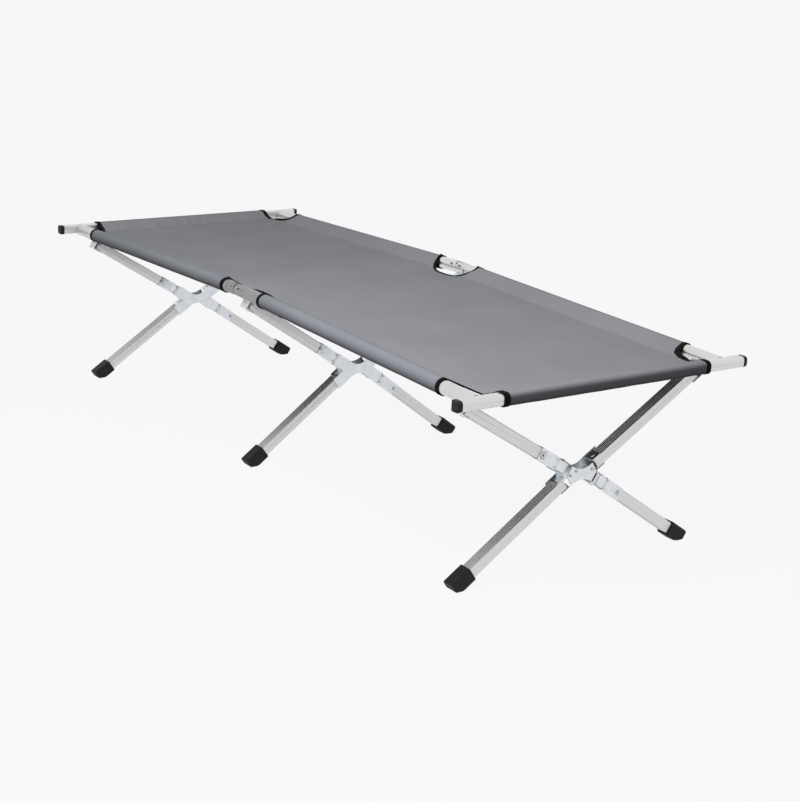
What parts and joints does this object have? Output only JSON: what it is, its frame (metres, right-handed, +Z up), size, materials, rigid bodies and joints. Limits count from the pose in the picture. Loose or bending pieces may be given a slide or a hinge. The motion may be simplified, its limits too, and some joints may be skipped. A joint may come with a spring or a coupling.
{
  "type": "camping cot",
  "caption": "Folding camping cot: a fabric bed on two hinged side rails, held by crossed folding leg sets and loose end bars.",
  "frame": {"origin": "on the floor, under the middle of the cot", "axes": "+Z up, +X along the bed towards the near end of the picture, Y across it; the left rail is at -Y"},
  "size_m": [1.9076, 0.7636, 0.4515],
  "materials": {
    "aluminium": "satin, drawn tube",
    "zinc_steel": "bright zinc-plated pressings",
    "rubber": "matt moulded",
    "black_plastic": "matt moulded",
    "bed_fabric": "plain woven polyester, black bindings"
  },
  "bodies": {
    "rail_left_near": {"rail_left_near": "aluminium", "rail_bracket_left_near": "zinc_steel", "rail_bracket_left_middle": "zinc_steel", "bed_fabric": "bed_fabric"},
    "link_left": {"rail_link_left": "zinc_steel"},
    "rail_left_far": {"rail_left_far": "aluminium", "rail_bracket_left_far": "zinc_steel"},
    "rail_right_near": {"rail_right_near": "aluminium", "rail_bracket_right_near": "zinc_steel", "rail_bracket_right_middle": "zinc_steel"},
    "link_right": {"rail_link_right": "zinc_steel"},
    "rail_right_far": {"rail_right_far": "aluminium", "rail_bracket_right_far": "zinc_steel"},
    "end_bar_near": {"end_bar_near": "aluminium", "bar_cap_left_near": "black_plastic", "bar_cap_right_near": "black_plastic"},
    "end_bar_far": {"end_bar_far": "aluminium", "bar_cap_left_far": "black_plastic", "bar_cap_right_far": "black_plastic"},
    "upper_left_middle": {"leg_upper_left_middle": "aluminium", "end_sleeve_upper_left_middle": "zinc_steel"},
    "hinge_middle": {"hinge_plate_middle": "zinc_steel", "hinge_cover_middle": "zinc_steel"},
    "upper_right_middle": {"leg_upper_right_middle": "aluminium"},
    "lower_left_middle": {"leg_lower_left_middle": "aluminium", "foot_left_middle": "rubber"},
    "lower_right_middle": {"leg_lower_right_middle": "aluminium", "end_sleeve_lower_right_middle": "zinc_steel", "foot_right_middle": "rubber"},
    "upper_left_near": {"leg_upper_left_near": "aluminium", "end_sleeve_upper_left_near": "zinc_steel"},
    "hinge_near": {"hinge_plate_near": "zinc_steel", "hinge_cover_near": "zinc_steel"},
    "upper_right_near": {"leg_upper_right_near": "aluminium"},
    "lower_left_near": {"leg_lower_left_near": "aluminium", "foot_left_near": "rubber"},
    "lower_right_near": {"leg_lower_right_near": "aluminium", "end_sleeve_lower_right_near": "zinc_steel", "foot_right_near": "rubber"},
    "upper_left_far": {"leg_upper_left_far": "aluminium", "end_sleeve_upper_left_far": "zinc_steel"},
    "hinge_far": {"hinge_plate_far": "zinc_steel", "hinge_cover_far": "zinc_steel"},
    "upper_right_far": {"leg_upper_right_far": "aluminium"},
    "lower_left_far": {"leg_lower_left_far": "aluminium", "foot_left_far": "rubber"},
    "lower_right_far": {"leg_lower_right_far": "aluminium", "end_sleeve_lower_right_far": "zinc_steel", "foot_right_far": "rubber"}
  },
  "joints": [
    {"name": "middle_leg_upper_left_fold", "type": "hinge", "parent": "rail_left_near", "child": "upper_left_middle", "pos_m": [0.01, -0.3, 0.3995], "axis": [0, -0.5528, -0.8333], "range_deg": [0, 82], "deforming": ["bed_fabric"]},
    {"name": "middle_hinge_fold", "type": "hinge", "parent": "upper_left_middle", "child": "hinge_middle", "pos_m": [0.01, -0.046, 0.231], "axis": [0, 0.5528, 0.8333], "range_deg": [0, 82]},
    {"name": "middle_leg_upper_right_fold", "type": "hinge", "parent": "hinge_middle", "child": "upper_right_middle", "pos_m": [0.01, 0.046, 0.231], "axis": [0, -0.5528, 0.8333], "range_deg": [0, 82]},
    {"name": "middle_leg_lower_left_fold", "type": "hinge", "parent": "hinge_middle", "child": "lower_left_middle", "pos_m": [0.01, -0.046, 0.193], "axis": [0, 0.596, -0.803], "range_deg": [0, 82]},
    {"name": "middle_leg_lower_right_fold", "type": "hinge", "parent": "hinge_middle", "child": "lower_right_middle", "pos_m": [0.01, 0.046, 0.193], "axis": [0, 0.596, 0.803], "range_deg": [0, 82]},
    {"name": "right_rail_fold", "type": "hinge", "parent": "upper_right_middle", "child": "rail_right_near", "pos_m": [0.01, 0.3, 0.3995], "axis": [0, 0.5528, -0.8333], "range_deg": [0, 82]},
    {"name": "near_leg_upper_left_fold", "type": "hinge", "parent": "rail_left_near", "child": "upper_left_near", "pos_m": [0.867, -0.3, 0.3795], "axis": [0, 0.5282, 0.8491], "range_deg": [0, 82]},
    {"name": "near_hinge_fold", "type": "hinge", "parent": "upper_left_near", "child": "hinge_near", "pos_m": [0.867, -0.046, 0.2215], "axis": [0, -0.5282, -0.8491], "range_deg": [0, 82]},
    {"name": "near_leg_upper_right_fold", "type": "hinge", "parent": "hinge_near", "child": "upper_right_near", "pos_m": [0.867, 0.046, 0.2215], "axis": [0, 0.5282, -0.8491], "range_deg": [0, 82]},
    {"name": "near_leg_lower_left_fold", "type": "hinge", "parent": "hinge_near", "child": "lower_left_near", "pos_m": [0.867, -0.046, 0.1835], "axis": [0, -0.5607, 0.828], "range_deg": [0, 82]},
    {"name": "near_leg_lower_right_fold", "type": "hinge", "parent": "hinge_near", "child": "lower_right_near", "pos_m": [0.867, 0.046, 0.1835], "axis": [0, -0.5607, -0.828], "range_deg": [0, 82]},
    {"name": "far_leg_upper_left_fold", "type": "hinge", "parent": "rail_left_far", "child": "upper_left_far", "pos_m": [-0.86, -0.3, 0.3795], "axis": [0, -0.5282, -0.8491], "range_deg": [0, 82]},
    {"name": "far_hinge_fold", "type": "hinge", "parent": "upper_left_far", "child": "hinge_far", "pos_m": [-0.86, -0.046, 0.2215], "axis": [0, 0.5282, 0.8491], "range_deg": [0, 82]},
    {"name": "far_leg_upper_right_fold", "type": "hinge", "parent": "hinge_far", "child": "upper_right_far", "pos_m": [-0.86, 0.046, 0.2215], "axis": [0, -0.5282, 0.8491], "range_deg": [0, 82]},
    {"name": "far_leg_lower_left_fold", "type": "hinge", "parent": "hinge_far", "child": "lower_left_far", "pos_m": [-0.86, -0.046, 0.1835], "axis": [0, 0.5607, -0.828], "range_deg": [0, 82]},
    {"name": "far_leg_lower_right_fold", "type": "hinge", "parent": "hinge_far", "child": "lower_right_far", "pos_m": [-0.86, 0.046, 0.1835], "axis": [0, 0.5607, 0.828], "range_deg": [0, 82]},
    {"name": "left_near_rail_fold", "type": "hinge", "parent": "link_left", "child": "rail_left_near", "pos_m": [0.006, -0.323, 0.444], "axis": [0, -1, 0], "range_deg": [0, 90], "deforming": ["bed_fabric"]},
    {"name": "left_far_rail_fold", "type": "hinge", "parent": "link_left", "child": "rail_left_far", "pos_m": [-0.026, -0.323, 0.444], "axis": [0, 1, 0], "range_deg": [0, 90]},
    {"name": "right_link_fold", "type": "hinge", "parent": "rail_right_near", "child": "link_right", "pos_m": [0.006, 0.323, 0.444], "axis": [0, 1, 0], "range_deg": [0, 90]},
    {"name": "right_far_rail_fold", "type": "hinge", "parent": "link_right", "child": "rail_right_far", "pos_m": [-0.026, 0.323, 0.444], "axis": [0, 1, 0], "range_deg": [0, 90]},
    {"name": "end_bar_near_slide", "type": "slide", "parent": "rail_left_near", "child": "end_bar_near", "axis": [0, -1, 0], "range_m": [0, 0.76]},
    {"name": "end_bar_far_slide", "type": "slide", "parent": "rail_left_far", "child": "end_bar_far", "axis": [0, -1, 0], "range_m": [0, 0.76]}
  ],
  "couplings": [
    {"joint": "right_rail_fold", "follows": "middle_leg_upper_left_fold", "ratio": 1},
    {"joint": "middle_hinge_fold", "follows": "middle_leg_upper_left_fold", "ratio": 1},
    {"joint": "middle_leg_upper_right_fold", "follows": "middle_leg_upper_left_fold", "ratio": 1},
    {"joint": "middle_leg_lower_left_fold", "follows": "middle_leg_upper_left_fold", "ratio": 1},
    {"joint": "middle_leg_lower_right_fold", "follows": "middle_leg_upper_left_fold", "ratio": 1},
    {"joint": "near_leg_upper_left_fold", "follows": "middle_leg_upper_left_fold", "ratio": 1},
    {"joint": "near_hinge_fold", "follows": "middle_leg_upper_left_fold", "ratio": 1},
    {"joint": "near_leg_upper_right_fold", "follows": "middle_leg_upper_left_fold", "ratio": 1},
    {"joint": "near_leg_lower_left_fold", "follows": "middle_leg_upper_left_fold", "ratio": 1},
    {"joint": "near_leg_lower_right_fold", "follows": "middle_leg_upper_left_fold", "ratio": 1},
    {"joint": "far_leg_upper_left_fold", "follows": "middle_leg_upper_left_fold", "ratio": 1},
    {"joint": "far_hinge_fold", "follows": "middle_leg_upper_left_fold", "ratio": 1},
    {"joint": "far_leg_upper_right_fold", "follows": "middle_leg_upper_left_fold", "ratio": 1},
    {"joint": "far_leg_lower_left_fold", "follows": "middle_leg_upper_left_fold", "ratio": 1},
    {"joint": "far_leg_lower_right_fold", "follows": "middle_leg_upper_left_fold", "ratio": 1},
    {"joint": "left_far_rail_fold", "follows": "left_near_rail_fold", "ratio": 1},
    {"joint": "right_link_fold", "follows": "left_near_rail_fold", "ratio": 1},
    {"joint": "right_far_rail_fold", "follows": "left_near_rail_fold", "ratio": 1}
  ]
}
